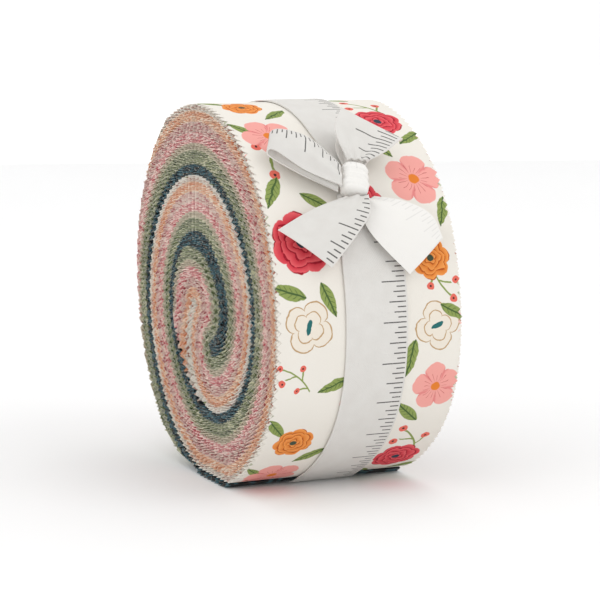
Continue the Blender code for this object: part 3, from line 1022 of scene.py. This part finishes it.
# The bow's two loops.
# The same ribbon, doubled back on itself: each loop leaves the knot, turns at its tip and comes
# back over itself, creased where the knot draws it together.
LEFT_LOOP = (
    # x, angle and lift of one edge, then of the other edge, then how far the middle bulges
    (-5.7, 43.1, 2.2, -6.5, 37.1, 2.0, 0.0),
    (-14.0, 50.1, 2.2, -16.8, 43.3, 2.0, 0.0),
    (-21.8, 55.1, 2.6, -24.5, 49.1, 2.2, 0.0),
    (-23.7, 56.5, 4.8, -26.9, 50.3, 4.0, 0.6),
    (-21.5, 55.5, 7.6, -25.2, 49.2, 6.0, 1.2),
    (-14.0, 51.3, 8.6, -17.3, 42.1, 5.8, 2.4),
    (-5.7, 44.1, 6.4, -6.7, 36.9, 5.4, 0.6),
)
RIGHT_LOOP = (
    (-2.4, 44.9, 2.2, 4.0, 44.5, 2.2, 0.0),
    (-3.0, 51.5, 3.4, 9.8, 48.7, 3.0, 0.0),
    (1.2, 59.5, 5.6, 15.8, 52.3, 4.0, 0.0),
    (1.8, 61.7, 8.0, 18.8, 51.1, 6.0, 0.0),
    (0.6, 59.9, 10.8, 17.4, 49.7, 8.4, -0.8),
    (-4.8, 52.5, 10.4, 11.2, 46.5, 7.6, -2.0),
    (-2.4, 44.9, 6.4, 4.2, 44.5, 6.0, 0.3),
)


def smooth_rows(rows, count):
    """A smooth run of rows through the given ones, by Catmull-Rom's rule."""
    rows = np.array(rows, float)
    padded = np.concatenate([2 * rows[:1] - rows[1:2], rows, 2 * rows[-1:] - rows[-2:-1]])
    place = np.linspace(0.0, len(rows) - 1.0, count)
    i = np.minimum(place.astype(int), len(rows) - 2)
    t = (place - i)[:, None]
    a, b, c, d = (padded[i + k] for k in range(4))
    return 0.5 * (
        2 * b + (c - a) * t + (2 * a - 5 * b + 4 * c - d) * t**2 + (3 * b - a - 3 * c + d) * t**3
    )


def bow_ribbon(table, stations, columns, creases, marks_on, ends, shown=1.0):
    """A length of the bow's ribbon: its grid of points, its map and its length.

    The two edges and the bulge run smoothly through the table. Creases are ripples across the
    ribbon, strongest at the knot and gone within about 15 mm of it. marks_on is 1 where the
    second edge carries the ruler's marks and -1 where the first does. ends is 2 where both ends
    of the length lie in the knot and 1 where only its start does. shown is the share of the
    ribbon's width that isn't folded under, counted from its marked edge.
    """
    x0, angle0, lift0, x1, angle1, lift1, bulge = smooth_rows(table, stations).T[:, :, None]
    s = np.linspace(0.0, 1.0, columns)
    t = np.linspace(0.0, 1.0, stations)[:, None]
    near = np.exp(-((t / 0.22) ** 2))
    if ends == 2:
        near = near + np.exp(-(((1.0 - t) / 0.22) ** 2))
    count, height, slant = creases
    ripple = height * near * np.cos(s * count * pi + slant * t * 6.0)
    lift = lift0 + (lift1 - lift0) * s + bulge * np.sin(s * pi) + ripple
    x = x0 + (x1 - x0) * s
    angle = angle0 + (angle1 - angle0) * s
    points = over_roll(x * MM, angle, (lift + 1.0) * MM)
    centre = points[:, columns // 2]
    run = np.concatenate([[0.0], np.cumsum(np.linalg.norm(np.diff(centre, axis=0), axis=1))])
    from_marks = (1.0 - s if marks_on > 0 else s) * 2.0 * shown
    across = (1.0 - from_marks) * RIBBON_HALF
    uv = np.stack(np.broadcast_arrays(run[:, None], across), -1)
    return points, uv, run[-1]


def add_bow_piece(name, grid, node, turned_over):
    """A length of the bow in place."""
    points, uv, long = grid
    if turned_over:
        points, uv = points[:, ::-1], uv[:, ::-1]
    add_ribbon(name, points, uv, node)


for name, table, creases, marks_on, node in (
    ("bow_loop_left", LEFT_LOOP, (5.0, 0.35, 0.4), -1.0, "tie_loop_left"),
    ("bow_loop_right", RIGHT_LOOP, (6.0, 0.40, -0.6), 1.0, "tie_loop_right"),
):
    grid = bow_ribbon(table, 97, 25, creases, marks_on, 2, 0.6)
    add_bow_piece(name, grid, node, name == "bow_loop_left")

# The bow's two free ends.
# The ribbon's ends hang forwards and down from the knot and are cut on a slant. The left one
# shows its marks, the right one is turned over and shows its back.
LEFT_TAIL = (
    (-6.0, 34.0, 4.2, 1.2, 33.8, 5.4, 0.6),
    (-14.1, 32.1, 3.6, 0.3, 28.5, 5.6, 1.2),
    (-20.9, 29.8, 2.8, -4.9, 22.9, 5.4, 0.8),
    (-29.7, 25.9, 2.4, -14.3, 14.1, 3.6, 0.4),
)
RIGHT_TAIL = (
    (-0.3, 33.4, 2.2, 4.5, 34.5, 2.8, 0.1),
    (-0.3, 26.5, 2.4, 13.5, 31.9, 4.6, 0.6),
    (3.7, 19.9, 2.6, 21.1, 27.3, 5.4, 0.8),
    (12.3, 11.1, 2.6, 23.9, 20.5, 5.2, 0.4),
)
for name, table, creases, marks_on, node in (
    ("bow_end_left", LEFT_TAIL, (4.0, 0.45, 0.5), 1.0, "tie_tail_left"),
    ("bow_end_right", RIGHT_TAIL, (4.0, 0.45, -0.5), 1.0, "tie_tail_right"),
):
    grid = bow_ribbon(table, 65, 25, creases, marks_on, 1)
    add_bow_piece(name, grid, node, name == "bow_end_right")

# The knot.
# The ribbon's last turn over the crossing, pulled tight: a small pad, drawn in at its waist,
# with the ribbon's folds running across it.
KNOT_TURN = 14.0
KNOT_LIFT = 4.1 * MM
KNOT_WIDE, KNOT_TALL, KNOT_DEEP = 4.7 * MM, 5.4 * MM, 3.9 * MM


def knot_points(rows, columns):
    """The knot's skin: rings round its long axis, their size (1 - |t|^4)^(1/4), with folds.

    The rings are a little smaller at the waist, and the folds are waves along the axis.
    """
    turn = np.linspace(0.0, 2 * pi, columns, endpoint=False)[None]
    t = np.linspace(-0.999, 0.999, rows)[:, None]
    size = (1.0 - np.abs(t) ** 4) ** 0.25 * (0.90 + 0.10 * t**2)
    folds = 0.035 * np.sin(13.0 * t + 1.2 * np.sin(turn))
    folds = folds + 0.02 * np.sin(29.0 * t + 2.0 * np.cos(turn))
    size = size * (1.0 + folds * (1.0 - t**4))
    box = (np.abs(np.cos(turn)) ** 3 + np.abs(np.sin(turn)) ** 3) ** (-1 / 3)
    wide = KNOT_WIDE * size * box * np.cos(turn)
    deep = KNOT_DEEP * size * box * np.sin(turn)
    tall = np.broadcast_to(KNOT_TALL * t, wide.shape)
    return wide, tall, deep


wide, tall, deep = knot_points(41, 48)
lean = radians(-KNOT_TURN)
across, along = wide * cos(lean) - tall * sin(lean), wide * sin(lean) + tall * cos(lean)
centre = over_roll(KNOT_X, KNOT_ANGLE, KNOT_LIFT + 1.0 * MM)
turn = radians(KNOT_ANGLE)
out_way = np.array([0.0, -cos(turn), sin(turn)])
up_way = np.array([0.0, sin(turn), cos(turn)])
side_way = np.array([1.0, 0.0, 0.0])
points = centre + across[..., None] * side_way + along[..., None] * up_way
points = points + deep[..., None] * out_way
knot_mesh = bpy.data.meshes.new("bow_knot")
rows, columns = points.shape[:2]
index = np.arange(rows * columns).reshape(rows, columns)
ring = np.concatenate([index, index[:, :1]], 1)
faces = quads(ring).tolist() + [index[0].tolist(), index[-1][::-1].tolist()]
knot_mesh.from_pydata(points.reshape(-1, 3).tolist(), [], faces)
knot_mesh.update()
wrap = knot_mesh.uv_layers.new(name="cloth")
loop_vertex = np.zeros(len(knot_mesh.loops), np.int32)
knot_mesh.loops.foreach_get("vertex_index", loop_vertex)
around = np.broadcast_to(np.linspace(0.0, 24.0, columns)[None], (rows, columns)).reshape(-1)
height = np.broadcast_to(np.linspace(-10.5, 10.5, rows)[:, None], (rows, columns)).reshape(-1)
uv = np.stack([around, height], 1)[loop_vertex]
wrap.data.foreach_set("uv", uv.astype(np.float32).reshape(-1))
side = knot_mesh.attributes.new("face", "FLOAT", "POINT")
side.data.foreach_set("value", np.zeros(rows * columns, np.float32))
knot = add("bow_knot", knot_mesh, RIBBON_COTTON)
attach(knot, "root")
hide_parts("tie_knot")
